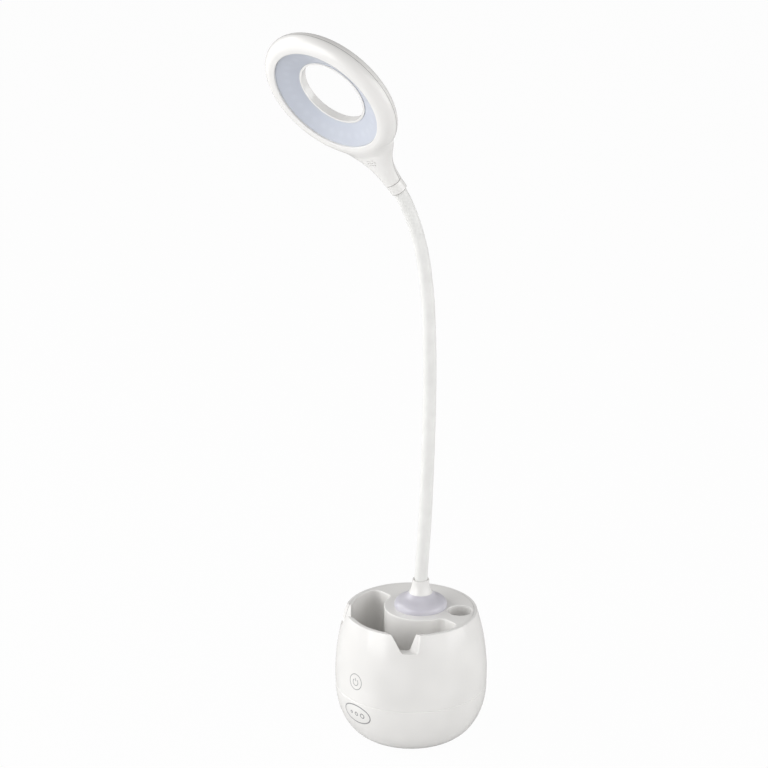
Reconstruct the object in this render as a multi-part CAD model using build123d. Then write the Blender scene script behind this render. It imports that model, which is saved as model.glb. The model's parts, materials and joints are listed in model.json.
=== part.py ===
from build123d import *
import math
import os

# Desk lamp: pen-holder pot, gooseneck and flat ring head.
# Millimetres, +Z up, -Y is the front (touch mark), origin on the pot's axis at desk level.
os.makedirs("parts", exist_ok=True)

# ---------------------------------------------------------------- driving sizes
# pot, outer form
rim_radius = 47.6
rim_height = 97.5
belly_drop = 1.1             # halfway up, the wall is this much inside the parting line
parting_radius = 55.0
parting_height = 40.9
floor_radius = 28.0
shell_wall = 2.0
rim_round = 0.8
parting_groove = 0.35        # chamfer on both sides of the parting line
lip_height = 2.5             # rabbet that keys the bowl into the barrel
lip_thickness = 1.6
lip_clearance = 0.2

# organizer insert
insert_clearance = 0.15
insert_wall = 1.4
deck_thickness = 2.4
pocket_floor = 43.0          # height of the compartment's floor
floor_thickness = 2.0
shoulder_y = 5.3             # rear end of the compartment beside the column
column_radius = 26.6         # bulge of the deck round the night light
column_round = 5.0
corner_round = 6.0
edge_round = 0.9
pen_radius = 8.8
pen_angle = 43.0             # degrees from +X
pen_floor = 46.0

# phone notches, one slot right across the rim
notch_y = -35.5
notch_depth = 12.7
notch_bottom = 8.7
notch_top = 14.0
notch_lean = 0.9             # the slot's top sits this much further back
notch_round = 2.0
cheek_wall = 1.4

# screws and bosses between bowl and insert
boss_spread = 14.0           # the four bosses stand at +-spread in X and Y
boss_radius = 4.2
boss_join = 30.0
screw_seat = 20.0
screw_shank = 1.5
screw_head = 2.8
screw_head_height = 2.0
screw_bite = 8.0
screw_clearance = 0.25
pilot_clearance = 0.02

# underside and bowl contents
foot_radius = 26.4
foot_height = 1.0            # the bowl's underside stands this far above the desk
foot_groove = 0.8            # the rubber pad sits this deep in the underside
foot_clearance = 0.15
foot_edge = 0.4
ballast_radius = 30.0
ballast_thickness = 4.0
ballast_clearance = 0.4
cell_radius = 9.15
cell_length = 65.0
cradle_base = 1.2
cradle_wall = 1.6
cradle_length = 50.0
cradle_clearance = 0.15
board_thickness = 1.6
control_board_z = 27.8
control_board_size = (62.0, 42.0)

# charge socket at the back
socket_rise = 10.1           # above the parting line
socket_width = 9.0
socket_height = 3.4
socket_length = 7.2
socket_wall = 0.5
socket_recess = 1.2          # mouth of the socket behind the outer face
socket_clearance = 0.35
charge_board_size = (20.0, 18.0)
charge_post_radius = 2.2
charge_post_x = 7.0
charge_post_up = 6.0

# touch pad behind the front wall
touch_rise = 16.1            # above the parting line
touch_pad_radius = 6.0
touch_pad_thickness = 0.6
touch_seat_radius = 8.0
touch_seat_proud = 0.8       # the seat's flat face stands this far in from the wall

# night light and neck foot, all on the neck's own axis
neck_y = 9.4
dome_radius = 19.2
dome_skirt = 1.2
dome_shoulder = (17.9, 4.4)  # radius and height above the deck, where the round edge ends
dome_slope = (13.7, 6.7)     # flattest place of the bell shape
dome_top = (8.6, 10.7)       # where the boot stands on it
dome_top_angle = 52.0        # steepness there
dome_hole = 6.0
dome_wall = 1.5
boot_waist = (6.75, 15.0)
boot_top_radius = 6.15
boot_height = 20.8           # top of the boot above the deck
boot_gap = 0.45              # dark ring between boot and sleeve
boot_seat = 0.02
light_board_radius = 17.4
light_board_hole = 7.0
light_led_count = 8
light_led_circle = 12.0
led_size = (2.8, 2.8, 0.8)
fitting_thread = 4.0
fitting_flange = 5.8
fitting_flange_height = 1.8
fitting_spigot = 3.0
fitting_spigot_height = 9.0
fitting_bore = 2.0
fitting_below = 11.0
thread_clearance = 0.2
nut_across = 14.0
nut_height = 5.0
washer_radius = 9.0
washer_height = 1.0

# gooseneck: a chain of stretches, each turning on a ball end
sleeve_radius = 4.75
ball_clearance = 0.3
first_joint_rise = 3.7       # first bend above the boot's top
stretch_length = 36.0
plane_turn = -27.0           # the neck bends in a plane turned this far from the front
stretch_tilts = (-4.5, -2.35, -1.9, -1.1, 0.5, 2.55, 8.0, 18.3)   # forward lean of each stretch
head_tilt = 33.9
head_turn = 31.0             # the head is turned this far about the stem, back to the front
core_radius = 3.0
core_clearance = 0.05
core_foot = 7.0              # core starts this far above its lower joint
core_head = 3.0              # and ends this far below its upper joint

# head, in its own frame: Z runs from the last joint up the stem, -Y is the light side
ferrule_start = 8.0
ferrule_length = 8.6
ferrule_radius = 6.1
ferrule_wall = 1.2
ferrule_clearance = 0.05
ferrule_spigot = 5.0
stem_start = ferrule_start + ferrule_length
ring_centre = 95.5
ring_radius = 45.2           # middle of the tube that the ring head looks like
tube_radius = 7.5
head_wall = 1.8
head_split = -1.0            # parting line, just behind the widest line
lip_inner = 42.0             # bezel lip round the diffuser
lip_width = 0.7
lip_round = 0.15
lip_front = 7.1
ledge_inner = 40.3
ledge_depth = 3.5
hole_radius = 25.1
hole_lip = 1.5
hole_lip_front = -1.1
hole_seat = -3.0
hole_round = 1.4
back_bevel = 0.4             # the back face falls away this much towards the hole
diffuser_outer_front = 5.9
diffuser_inner_front = -1.6
diffuser_clearance = 0.1
led_board_inner = 29.0
led_board_outer = 41.0
led_board_back = -4.9
led_board_thickness = 1.2
led_count = 30
led_circle = 35.0
board_rib = 1.2
head_screw_outside = 2.4     # screws stand this far outside the tube's middle
head_screw_angles = (90.0, 205.0, 335.0)
head_boss_radius = 2.8
head_screw_shank = 1.0
head_screw_head = 1.9
head_screw_head_height = 1.4
head_screw_bite = 5.0
cable_hole = 2.6
# stem sections: distance below the ring's centre, half width, half depth
stem_sections = (
    (ring_centre - stem_start, 6.5, 6.3),
    (73.0, 8.1, 6.0),
    (67.0, 10.3, 5.9),
    (61.0, 13.8, 5.9),
    (56.0, 18.0, 6.0),
    (51.5, 22.6, 6.1),
    (47.5, 26.2, 6.2),
    (43.5, 29.0, 6.2),
)
vent_radius = 0.45
vent_pitch = 2.3
vent_from_centre = 57.5

# ---------------------------------------------------------------- helpers
mid_height = (parting_height + rim_height) / 2
belly_radius = parting_radius - belly_drop
touch_z = parting_height + touch_rise
socket_z = parting_height + socket_rise
boot_top = rim_height + boot_height
first_joint_z = boot_top + first_joint_rise
neck_axis = Pos(0, neck_y, 0)
plan_turn = math.radians(plane_turn)
made = {}


def keep(name, shape):
    """Write one named piece."""
    made[name] = shape
    shape.label = name
    export_step(shape, f"parts/{name}.step")


def turned(*edges):
    """Solid of revolution about Z from a closed outline given as (radius, height)."""
    return revolve(Plane.XZ * make_face(Wire(edges)), Axis.Z, 360)


def turned_polygon(*points):
    outline = list(points) + [points[0]]
    return turned(*[Line(a, b) for a, b in zip(outline, outline[1:])])


def rod(radius, low, high):
    return Pos(0, 0, (low + high) / 2) * Cylinder(radius, high - low)


def tube(outer, inner, low, high):
    return rod(outer, low, high) - rod(inner, low - 1, high + 1)


def barrel(inset):
    """Everything inside the barrel wall, reduced by inset."""
    wall = ThreePointArc(
        (parting_radius - inset, parting_height),
        (belly_radius - inset, mid_height),
        (rim_radius - inset, rim_height),
    )
    return turned(
        wall,
        Line((rim_radius - inset, rim_height), (0, rim_height)),
        Line((0, rim_height), (0, parting_height)),
        Line((0, parting_height), (parting_radius - inset, parting_height)),
    )


def bowl(inset):
    """Everything inside the lower bowl, reduced by inset on wall and floor."""
    side = EllipticalCenterArc(
        (floor_radius, parting_height),
        parting_radius - floor_radius - inset,
        parting_height - foot_height - inset,
        start_angle=-90,
        arc_size=90,
    )
    return turned(
        side,
        Line((parting_radius - inset, parting_height), (0, parting_height)),
        Line((0, parting_height), (0, foot_height + inset)),
        Line((0, foot_height + inset), (floor_radius, foot_height + inset)),
    )


def barrel_radius(height):
    """Outer radius of the barrel wall at a height, on the arc through its three set points."""
    a, b, c = ((parting_radius, parting_height), (belly_radius, mid_height), (rim_radius, rim_height))
    arc = ThreePointArc(a, b, c)
    centre = arc.arc_center
    outward = math.copysign(1, belly_radius - (parting_radius + rim_radius) / 2)
    return centre.X + outward * math.sqrt(arc.radius ** 2 - (height - centre.Y) ** 2)


boss_places = [(x, y) for x in (-boss_spread, boss_spread) for y in (-boss_spread, boss_spread)]


def at_bosses(shape, places=boss_places):
    return [Pos(x, y, 0) * shape for x, y in places]


# ---------------------------------------------------------------- pot: notch shape
notch_floor = rim_height - notch_depth


def notch_outline(grow):
    """Side view of the phone slot in the YZ plane, grown on every side."""
    low = notch_floor - grow
    high = rim_height + cheek_wall
    slope = (notch_top - notch_bottom) / 2 / notch_depth
    rise = high - notch_floor
    half_low = notch_bottom / 2 + grow
    half_high = notch_bottom / 2 + slope * rise + grow
    shift = notch_lean * rise / notch_depth
    face = make_face(Polyline(
        (notch_y - half_low, low), (notch_y + half_low, low),
        (notch_y + half_high + shift, high), (notch_y - half_high + shift, high), close=True))
    lower = face.vertices().sort_by(Axis.Y)[0:2]
    return fillet(lower, notch_round + grow)


def notch_prism(grow):
    return extrude(Plane.YZ * notch_outline(grow), parting_radius, both=True)


# ---------------------------------------------------------------- pot_upper
touch_face_y = -(barrel_radius(touch_z + touch_seat_radius) - shell_wall - touch_seat_proud)
touch_seat = Pos(0, touch_face_y - parting_radius / 2, touch_z) * Rot(90, 0, 0) * Cylinder(
    touch_seat_radius, parting_radius)
socket_face_y = barrel_radius(socket_z) - socket_recess
charge_board_y = socket_face_y - socket_length
posts = [
    Pos(x, charge_board_y + parting_radius / 2, socket_z + charge_post_up) * Rot(90, 0, 0)
    * Cylinder(charge_post_radius, parting_radius)
    for x in (-charge_post_x, charge_post_x)
]
socket_window = Pos(0, parting_radius, socket_z) * Rot(90, 0, 0) * extrude(
    RectangleRounded(socket_width + 2 * socket_clearance, socket_height + 2 * socket_clearance,
                     (socket_height + 2 * socket_clearance) / 2 * 0.98),
    parting_radius / 4, both=True)
barrel_inside = barrel(shell_wall)
upper = barrel(0)
rim_edge = upper.edges().filter_by(GeomType.CIRCLE).group_by(Axis.Z)[-1]
seam_edge = upper.edges().filter_by(GeomType.CIRCLE).group_by(Axis.Z)[0]
upper = fillet(rim_edge, rim_round)
seam_edge = upper.edges().filter_by(GeomType.CIRCLE).group_by(Axis.Z)[0]
upper = chamfer(seam_edge, parting_groove)
seats = (touch_seat + posts) & barrel(shell_wall / 2)
upper = upper - barrel_inside + seats - notch_prism(0) - socket_window
keep("pot_upper", upper)

# ---------------------------------------------------------------- pot_insert
insert_radius = rim_radius - shell_wall - insert_clearance
pocket_radius = insert_radius - insert_wall
pocket_plan = Circle(pocket_radius) & Pos(0, shoulder_y - pocket_radius) * Rectangle(
    2 * pocket_radius, 2 * pocket_radius)
pocket_plan = pocket_plan - Pos(0, neck_y) * Circle(column_radius)
outer_corners = pocket_plan.vertices().sort_by(Axis.X)
pocket_plan = fillet([outer_corners[0], outer_corners[-1]], corner_round)
column_corners = [v for v in pocket_plan.vertices()
                  if abs(v.Y - shoulder_y) < 0.01 and abs(v.X) < column_radius + 0.5]
pocket_plan = fillet(column_corners, column_round)
cup_plan = offset(pocket_plan, insert_wall)
pocket = Pos(0, 0, pocket_floor) * extrude(pocket_plan, rim_height)
cup = Pos(0, 0, pocket_floor - floor_thickness) * extrude(
    cup_plan, rim_height - pocket_floor + floor_thickness)
pen_distance = insert_radius - insert_wall - pen_radius
pen_place = Pos(pen_distance * math.cos(math.radians(pen_angle)),
                pen_distance * math.sin(math.radians(pen_angle)), 0)
pen_cup = pen_place * rod(pen_radius + insert_wall, pen_floor - floor_thickness, rim_height)
pen_bore = pen_place * rod(pen_radius, pen_floor, rim_height + 1)
deck = rod(insert_radius, rim_height - deck_thickness, rim_height)
insert = deck + cup + pen_cup - pocket - pen_bore
top_face = insert.faces().filter_by(Axis.Z).sort_by(Axis.Z)[-1]
insert = fillet(top_face.inner_wires().edges(), edge_round)
cheeks = (notch_prism(cheek_wall) & barrel(shell_wall + insert_clearance)) - rod(
    insert_radius - insert_wall * 0.3, 0, rim_height + 1) - rod(
    parting_radius, rim_height - rim_round, rim_height + 1)
front_boss = rod(boss_radius, boss_join, pocket_floor - floor_thickness / 2)
rear_boss = rod(boss_radius, boss_join, rim_height - deck_thickness / 2)
pilot = rod(screw_shank + pilot_clearance, boss_join - 1, boss_join + screw_bite)
front_places = [p for p in boss_places if p[1] < 0]
rear_places = [p for p in boss_places if p[1] > 0]
fitting_hole = neck_axis * rod(fitting_thread + thread_clearance, 0, rim_height + 1)
insert = insert + cheeks + at_bosses(front_boss, front_places) + at_bosses(rear_boss, rear_places)
insert = insert - at_bosses(pilot) - fitting_hole - notch_prism(0)
keep("pot_insert", insert)

# ---------------------------------------------------------------- pot_bottom
bottom = bowl(0)
seam_edge = bottom.edges().filter_by(GeomType.CIRCLE).group_by(Axis.Z)[-1]
bottom = chamfer(seam_edge.sort_by(SortBy.LENGTH)[-1], parting_groove) - bowl(shell_wall)
lip_outer = parting_radius - shell_wall - lip_clearance
lip = tube(lip_outer, lip_outer - lip_thickness, parting_height - lip_height, parting_height + lip_height)
lip_root = tube(parting_radius - shell_wall / 2, lip_outer - lip_thickness,
                parting_height - 2 * lip_height, parting_height - lip_height)
lip_root = lip_root & bowl(shell_wall / 2)
bowl_boss = rod(boss_radius, foot_height + shell_wall / 2, boss_join)
counterbore = rod(screw_head + screw_clearance, -1, screw_seat)
shank_hole = rod(screw_shank + screw_clearance, -1, boss_join + 1)
groove_top = foot_height + foot_groove
groove = rod(foot_radius + foot_clearance, 0, groove_top)
bottom = bottom + lip + lip_root + at_bosses(bowl_boss)
bottom = bottom - at_bosses(counterbore) - at_bosses(shank_hole) - groove
keep("pot_bottom", bottom)

foot = rod(foot_radius, 0, groove_top)
foot_edges = foot.edges().filter_by(GeomType.CIRCLE).group_by(Axis.Z)[0]
keep("foot_pad", fillet(foot_edges, foot_edge))

cross = Box(screw_head, 0.5, 0.8) + Box(0.5, screw_head, 0.8)
screw = rod(screw_shank, screw_seat, boss_join + screw_bite) + rod(
    screw_head, screw_seat - screw_head_height, screw_seat)
screw = screw - Pos(0, 0, screw_seat - screw_head_height) * cross
keep("bottom_screws", Compound(children=[s for s in at_bosses(screw)]))

# ---------------------------------------------------------------- bowl contents
bowl_floor = foot_height + shell_wall
ballast_top = bowl_floor + ballast_thickness
ballast = rod(ballast_radius, bowl_floor, ballast_top) & bowl(shell_wall)
ballast = ballast - at_bosses(rod(boss_radius + ballast_clearance, 0, ballast_top + 1))
keep("ballast_disc", ballast)

cell_z = ballast_top + cradle_base + cell_radius
cell_body = Pos(0, 0, cell_z) * Rot(0, 90, 0) * Cylinder(cell_radius, cell_length)
cell_tip = Pos(cell_length / 2 + 0.6, 0, cell_z) * Rot(0, 90, 0) * Cylinder(cell_radius / 3, 1.2)
keep("battery_cell", cell_body + cell_tip)

cradle_gap = cell_radius + cradle_clearance
cradle_side = cradle_gap + cradle_wall
cradle_spine = 2 * (boss_spread - boss_radius - ballast_clearance) - 0.4
plate = Pos(0, 0, ballast_top + cradle_base / 2) * Box(cradle_length, cradle_spine, cradle_base)
saddle_x = boss_spread + boss_radius + ballast_clearance + cradle_wall
saddles = [
    Pos(side * (saddle_x + cradle_wall), 0, ballast_top + cell_radius * 0.55)
    * Box(2 * cradle_wall, 2 * cradle_side, cell_radius * 1.1)
    for side in (-1, 1)
]
board_posts = [
    Pos(side * (saddle_x + cradle_wall), y, 0) * rod(cradle_wall, ballast_top, control_board_z)
    for side in (-1, 1) for y in (-cradle_side, cradle_side)
]
cradle = plate + saddles + board_posts
cradle = cradle - Pos(0, 0, cell_z) * Rot(0, 90, 0) * Cylinder(cradle_gap, 2 * cell_length)
cradle = cradle + Pos(0, 0, ballast_top + cradle_base / 2) * Box(cradle_length, cell_radius, cradle_base)
keep("battery_cradle", cradle)

control = Pos(0, 0, control_board_z + board_thickness / 2) * Box(*control_board_size, board_thickness)
control = control - at_bosses(rod(boss_radius + ballast_clearance, 0, rim_height))
chip_top = control_board_z + board_thickness
chip_out, chip_front = control_board_size[0] / 3, control_board_size[1] / 2 - 5.0
chips = [
    Pos(x, y, chip_top + h / 2) * Box(w, d, h)
    for x, y, w, d, h in ((0, 0, 10, 10, 1.6), (-chip_out, 3, 6, 5, 1.5), (chip_out, -4, 6, 8, 3.0),
                          (0, -chip_front, 14, 4, 2.4))
]
keep("control_board", control + chips)

# ---------------------------------------------------------------- charge socket and touch pad
charge_board = Pos(0, charge_board_y - board_thickness / 2, socket_z + charge_board_size[1] / 6) * Box(
    charge_board_size[0], board_thickness, charge_board_size[1])
keep("charge_board", charge_board)

socket_outline = RectangleRounded(socket_width, socket_height, socket_height / 2 * 0.98)
socket_inside = RectangleRounded(socket_width - 2 * socket_wall, socket_height - 2 * socket_wall,
                                 (socket_height - 2 * socket_wall) / 2 * 0.98)
tongue = Rectangle(socket_width - 4 * socket_wall, socket_wall * 1.4)
socket = extrude(socket_outline, socket_length) - Pos(0, 0, socket_wall) * extrude(
    socket_inside, socket_length)
socket = socket + extrude(tongue, socket_length - 1)
keep("charge_socket", Pos(0, charge_board_y, socket_z) * Rot(-90, 0, 0) * socket)

touch_pad = Pos(0, touch_face_y + touch_pad_thickness / 2, touch_z) * Rot(90, 0, 0) * Cylinder(
    touch_pad_radius, touch_pad_thickness)
keep("touch_sensor", touch_pad)

# ---------------------------------------------------------------- night light and neck foot
light_board = neck_axis * tube(light_board_radius, light_board_hole, rim_height,
                               rim_height + board_thickness)
keep("night_light_board", light_board)
led = Pos(light_led_circle, 0, rim_height + board_thickness + led_size[2] / 2) * Box(*led_size)
keep("night_light_leds", Compound(children=[
    neck_axis * Rot(0, 0, i * 360 / light_led_count) * led for i in range(light_led_count)]))

skirt_top = rim_height + dome_skirt
steep = math.radians(dome_top_angle)


def dome_form(inset):
    """Bell shape of the night light, reduced by inset."""
    tops = []
    for (radius, height), fall in ((dome_shoulder, 50.0), (dome_slope, 30.0), (dome_top, dome_top_angle)):
        a = math.radians(fall)
        tops.append((radius - inset * math.sin(a), rim_height + height - inset * math.cos(a)))
    crown = Spline((dome_radius - inset, skirt_top), *tops,
                   tangents=((0, 1), (-math.cos(steep), math.sin(steep))))
    return turned(
        Line((0, rim_height), (dome_radius - inset, rim_height)),
        Line((dome_radius - inset, rim_height), (dome_radius - inset, skirt_top)),
        crown,
        Line(tops[-1], (0, tops[-1][1])),
        Line((0, tops[-1][1]), (0, rim_height)))


dome = dome_form(0) - dome_form(dome_wall) - rod(dome_hole, 0, boot_top)
keep("night_light_dome", neck_axis * dome)

boot_bottom = rim_height + dome_top[1] + boot_seat
boot_curve = Spline(
    (dome_top[0], boot_bottom), (boot_waist[0], rim_height + boot_waist[1]), (boot_top_radius, boot_top),
    tangents=((-math.cos(steep), math.sin(steep)), (0, 1)))
boot = turned(
    Line((0, boot_bottom), (dome_top[0], boot_bottom)),
    boot_curve,
    Line((boot_top_radius, boot_top), (0, boot_top)),
    Line((0, boot_top), (0, boot_bottom)))
boot = fillet(boot.edges().filter_by(GeomType.CIRCLE).group_by(Axis.Z)[-1], boot_gap)
boot = boot - rod(sleeve_radius + boot_gap, 0, boot_top + 1)
keep("neck_boot", neck_axis * boot)

deck_under = rim_height - deck_thickness
flange_top = rim_height + fitting_flange_height
fitting = rod(fitting_thread, deck_under - fitting_below, rim_height) + rod(
    fitting_flange, rim_height, flange_top) + rod(
    fitting_spigot, flange_top, flange_top + fitting_spigot_height)
fitting = fitting - rod(fitting_bore, 0, boot_top)
keep("neck_fitting", neck_axis * fitting)
keep("neck_washer", neck_axis * tube(washer_radius, fitting_thread + thread_clearance,
                                     deck_under - washer_height, deck_under))
nut_low = deck_under - washer_height - nut_height
nut = Pos(0, 0, nut_low) * extrude(RegularPolygon(nut_across / 2, 6, major_radius=False), nut_height)
nut = nut - rod(fitting_thread + pilot_clearance, nut_low - 1, nut_low + nut_height + 1)
keep("neck_nut", neck_axis * nut)

# ---------------------------------------------------------------- gooseneck
forward = Vector(math.sin(plan_turn), -math.cos(plan_turn), 0)
across = Vector(math.cos(plan_turn), math.sin(plan_turn), 0)
ball_gap_radius = sleeve_radius + ball_clearance


def lean(angle):
    """Unit direction in the neck's plane, leaning forward by angle."""
    a = math.radians(angle)
    return forward * math.sin(a) + Vector(0, 0, 1) * math.cos(a)


def neck_frame(origin, angle):
    return Plane(origin=origin, x_dir=across, z_dir=lean(angle)).location


joints = [Vector(0, neck_y, first_joint_z)]
for tilt in stretch_tilts:
    joints.append(joints[-1] + lean(tilt) * stretch_length)

root_foot = flange_top
root = rod(sleeve_radius, root_foot, first_joint_z) + Pos(0, 0, first_joint_z) * Sphere(sleeve_radius)
root = root - rod(fitting_spigot + core_clearance, 0, flange_top + fitting_spigot_height)
keep("neck_root", neck_axis * root)

core_top = stretch_length - core_head
stretch = rod(sleeve_radius, 0, stretch_length) + Pos(0, 0, stretch_length) * Sphere(sleeve_radius)
stretch = stretch - Sphere(ball_gap_radius) - rod(core_radius + core_clearance, core_foot, core_top)
core = rod(core_radius, core_foot, core_top)
for number, tilt in enumerate(stretch_tilts, start=1):
    place = neck_frame(joints[number - 1], tilt)
    keep(f"neck_sleeve_{number}", place * stretch)
    keep(f"neck_core_{number}", place * core)

# ---------------------------------------------------------------- head
# the head keeps facing front as the neck is bent, so it stands turned about its own stem
head_place = neck_frame(joints[-1], head_tilt) * Rot(0, 0, head_turn)
ring_place = Pos(0, 0, ring_centre) * Rot(90, 0, 0)      # ring frame: its Z is the light direction


def ring_turned(*edges):
    return ring_place * turned(*edges)


def ring_polygon(*points):
    return ring_place * turned_polygon(*points)


def tube_point(radius, angle):
    a = math.radians(angle)
    return (ring_radius + radius * math.cos(a), radius * math.sin(a))


def arc_between(radius, start, end):
    return ThreePointArc(tube_point(radius, start), tube_point(radius, (start + end) / 2),
                         tube_point(radius, end))


inner_tube = tube_radius - head_wall
split_out = math.degrees(math.asin(head_split / tube_radius))
split_in = math.degrees(math.asin(head_split / inner_tube))
lip_mid = (lip_inner + lip_width, tube_radius - lip_round)
back_inner = -tube_radius + back_bevel

bezel_ring = ring_turned(
    arc_between(tube_radius, split_out, 90),
    Line((ring_radius, tube_radius), lip_mid),
    Line(lip_mid, (lip_inner, lip_front)),
    Line((lip_inner, lip_front), (lip_inner, ledge_depth)),
    Line((lip_inner, ledge_depth), (ledge_inner, ledge_depth)),
    Line((ledge_inner, ledge_depth), (ledge_inner, ledge_depth - head_wall / 2)),
    Line((ledge_inner, ledge_depth - head_wall / 2), (ring_radius, ledge_depth - head_wall / 2)),
    Line((ring_radius, ledge_depth - head_wall / 2), (ring_radius, inner_tube)),
    arc_between(inner_tube, 90, split_in),
    Line(tube_point(inner_tube, split_in), tube_point(tube_radius, split_out)),
)

hole_outer = hole_radius + hole_lip
cover_ring = ring_turned(
    arc_between(tube_radius, split_out, -90),
    Line((ring_radius, -tube_radius), (hole_radius + hole_round, back_inner)),
    ThreePointArc((hole_radius + hole_round, back_inner),
                  (hole_radius + hole_round * 0.293, back_inner + hole_round * 0.293),
                  (hole_radius, back_inner + hole_round)),
    Line((hole_radius, back_inner + hole_round), (hole_radius, hole_lip_front)),
    Line((hole_radius, hole_lip_front), (hole_outer, hole_lip_front)),
    Line((hole_outer, hole_lip_front), (hole_outer, hole_seat)),
    Line((hole_outer, hole_seat), (hole_outer + head_wall / 2, hole_seat)),
    Line((hole_outer + head_wall / 2, hole_seat), (hole_outer + head_wall / 2, back_inner + head_wall)),
    Line((hole_outer + head_wall / 2, back_inner + head_wall), (ring_radius, -inner_tube)),
    arc_between(inner_tube, -90, split_in),
    Line(tube_point(inner_tube, split_in), tube_point(tube_radius, split_out)),
)


def stem_form(inset):
    """Paddle-shaped stem, lofted through ellipses from the ferrule up into the ring."""
    sections = []
    for below, half_width, half_depth in stem_sections:
        height = ring_centre - below
        sections.append(Plane.XY.offset(height) * Ellipse(half_width - inset, half_depth - inset))
    return loft(sections)


whole_ring = ring_place * (
    Torus(ring_radius, tube_radius) + Cylinder(ring_radius, 2 * tube_radius))
stem = stem_form(0) - stem_form(head_wall) - whole_ring
spigot_hole = rod(ferrule_radius - ferrule_wall + ferrule_clearance, 0, stem_start + ferrule_spigot)
stem = stem - spigot_hole
front_half = Pos(0, -100 - head_split, ring_centre) * Box(400, 200, 400)
back_half = Pos(0, 100 - head_split, ring_centre) * Box(400, 200, 400)
cable_way = rod(cable_hole, ring_centre - ring_radius - tube_radius - 8, ring_centre - ring_radius)
cable_way = Pos(0, -head_split - cable_hole * 1.3, 0) * cable_way

vents = []
for row in (-1, 0, 1):
    count = 4 - abs(row)
    for i in range(count):
        x = (i - (count - 1) / 2) * vent_pitch
        z = ring_centre - vent_from_centre + row * vent_pitch * 0.87
        vents.append(Pos(x, -tube_radius, z) * Rot(90, 0, 0) * Cylinder(vent_radius, 2 * tube_radius))

head_screw_circle = ring_radius + head_screw_outside
screw_spots = [
    (head_screw_circle * math.cos(math.radians(a)), head_screw_circle * math.sin(math.radians(a)))
    for a in head_screw_angles
]


def at_screws(shape):
    return [ring_place * Pos(x, y, 0) * shape for x, y in screw_spots]


ring_full = ring_place * Torus(ring_radius, tube_radius - head_wall / 2)
bezel_boss = at_screws(rod(head_boss_radius, head_split, tube_radius))
bezel_boss = [b & ring_full for b in bezel_boss]
cover_boss = at_screws(rod(head_boss_radius, -tube_radius, head_split))
cover_boss = [b & ring_full for b in cover_boss]
head_pilot = rod(head_screw_shank + pilot_clearance, head_split - 1, head_split + head_screw_bite)
head_seat = head_split - 2.0
head_clear = rod(head_screw_shank + screw_clearance, -2 * tube_radius, head_split + 1) + rod(
    head_screw_head + screw_clearance, -2 * tube_radius, head_seat)

bezel = bezel_ring + (stem & front_half) + bezel_boss
bezel = bezel - at_screws(head_pilot) - cable_way - vents
cover = cover_ring + (stem & back_half) + cover_boss
rib_low = -inner_tube - 0.2
ribs = ring_place * tube(led_circle + board_rib, led_circle, rib_low, led_board_back)
cover = cover + ribs - at_screws(head_clear)
keep("head_bezel", head_place * bezel)
keep("head_cover", head_place * cover)

head_screw = rod(head_screw_shank, head_seat, head_split + head_screw_bite) + rod(
    head_screw_head, head_seat - head_screw_head_height, head_seat)
head_screw = head_screw - Pos(0, 0, head_seat - head_screw_head_height) * (
    Box(head_screw_head, 0.4, 0.8) + Box(0.4, head_screw_head, 0.8))
keep("head_screws", Compound(children=[head_place * s for s in at_screws(head_screw)]))

diffuser_inner = hole_outer + diffuser_clearance
diffuser_outer = lip_inner - diffuser_clearance
diffuser = ring_polygon(
    (diffuser_inner, diffuser_inner_front),
    (diffuser_outer, diffuser_outer_front),
    (diffuser_outer, ledge_depth),
    (ledge_inner - diffuser_clearance / 2, ledge_depth),
    (hole_outer + head_wall, hole_seat),
    (diffuser_inner, hole_seat))
keep("diffuser", head_place * diffuser)

board_front = led_board_back + led_board_thickness
keep("led_board", head_place * ring_place * tube(
    led_board_outer, led_board_inner, led_board_back, board_front))
chip = Pos(led_circle, 0, board_front + led_size[2] / 2) * Box(*led_size)
keep("led_chips", Compound(children=[
    head_place * ring_place * Rot(0, 0, (i + 0.5) * 360 / led_count) * chip for i in range(led_count)]))

ferrule = rod(ferrule_radius, ferrule_start, stem_start) + rod(
    ferrule_radius - ferrule_wall, stem_start, stem_start + ferrule_spigot - 0.5)
ferrule = chamfer(ferrule.edges().filter_by(GeomType.CIRCLE).group_by(Axis.Z)[0], 0.4)
neck_end = stem_start + 2.0
ferrule = ferrule - rod(sleeve_radius + ferrule_clearance, 0, stem_start) - rod(
    core_radius, 0, stem_start + ferrule_spigot)
keep("ferrule", head_place * ferrule)

tail = rod(sleeve_radius, 0, stem_start) - Sphere(ball_gap_radius) - rod(
    core_radius - 1, core_foot, stem_start + 1)
keep("neck_tail", head_place * tail)

# ---------------------------------------------------------------- what the numbers came to
for name, shape in made.items():
    box = shape.bounding_box()
    print(f"{name:20s} {box.size.X:7.1f} {box.size.Y:7.1f} {box.size.Z:7.1f}")
for i, j in enumerate(joints, start=1):
    print(f"joint {i}: {j.X:8.2f} {j.Y:8.2f} {j.Z:8.2f}")
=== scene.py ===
# %% [markdown]
# # A white desk lamp on a pen pot
# This file dresses a finished CAD model of a desk lamp: a barrel-shaped pen pot, a bendable neck and a
# flat ring head. The CAD parts come in already placed, in metres, with +Z up and -Y to the front.
# We add what a CAD solid doesn't have: finishes, one smooth sleeve over the neck's chain of stretches,
# the printed marks on the pot, soft studio light and a camera.

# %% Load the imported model
import json
import math

import bmesh
import bpy
from mathutils import Matrix, Vector
from mathutils.bvhtree import BVHTree


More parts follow.
